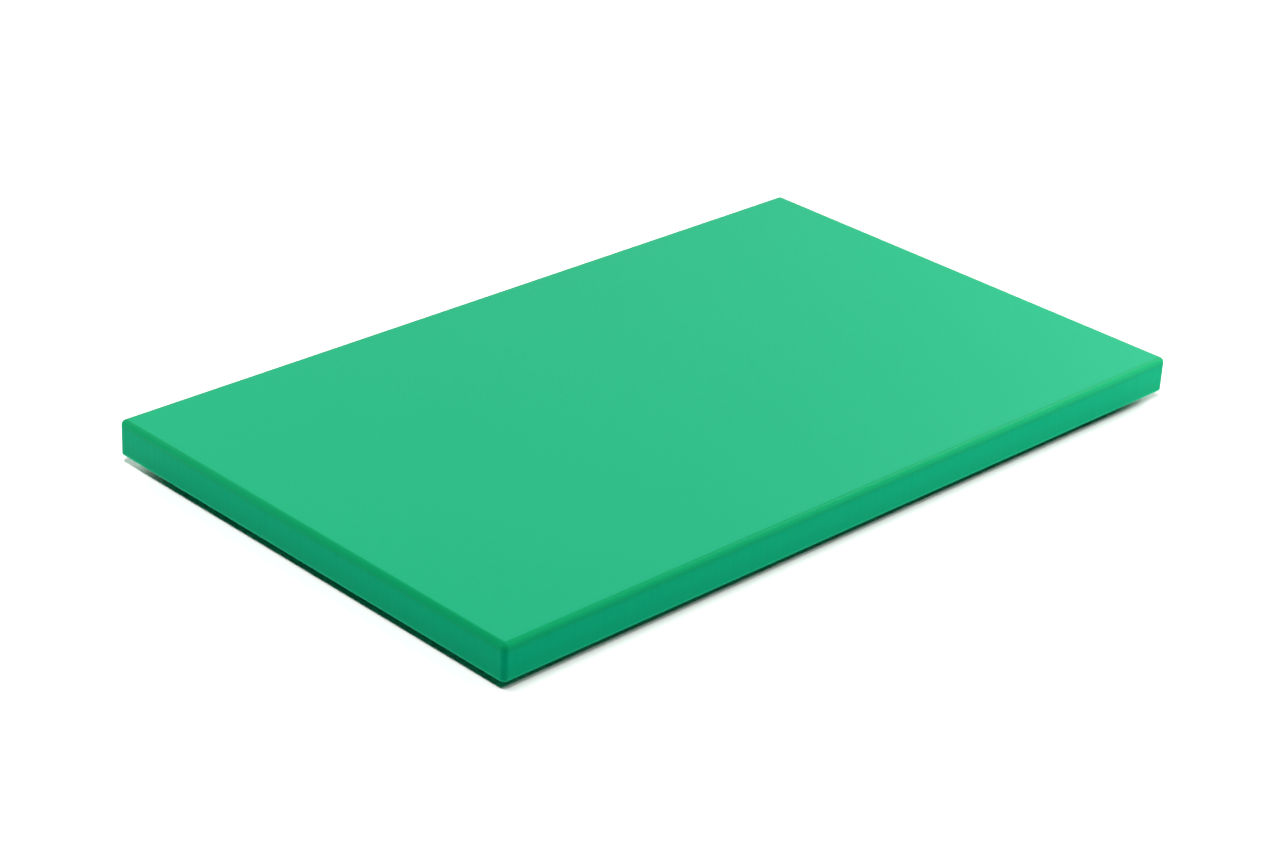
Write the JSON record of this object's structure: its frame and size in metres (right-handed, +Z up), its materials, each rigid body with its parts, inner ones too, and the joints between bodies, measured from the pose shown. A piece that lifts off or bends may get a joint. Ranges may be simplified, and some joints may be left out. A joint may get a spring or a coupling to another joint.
{
  "type": "plastic cutting board",
  "caption": "Thick rectangular green polyethylene cutting board with a rounded top rim, standing on low push-in rubber feet.",
  "frame": {"origin": "on the worktop, under the middle of the board", "axes": "+X along the long side, +Y along the short side towards the rear, +Z up out of the working face"},
  "size_m": [0.5, 0.3, 0.024],
  "materials": {
    "board": "satin polyethylene with a fine grain on the working face and faint milling marks on the sides",
    "feet": "matt moulded rubber"
  },
  "bodies": {
    "root": {"board": "board", "foot_front_left": "feet", "foot_front_right": "feet", "foot_rear_left": "feet", "foot_rear_right": "feet"}
  },
  "joints": []
}
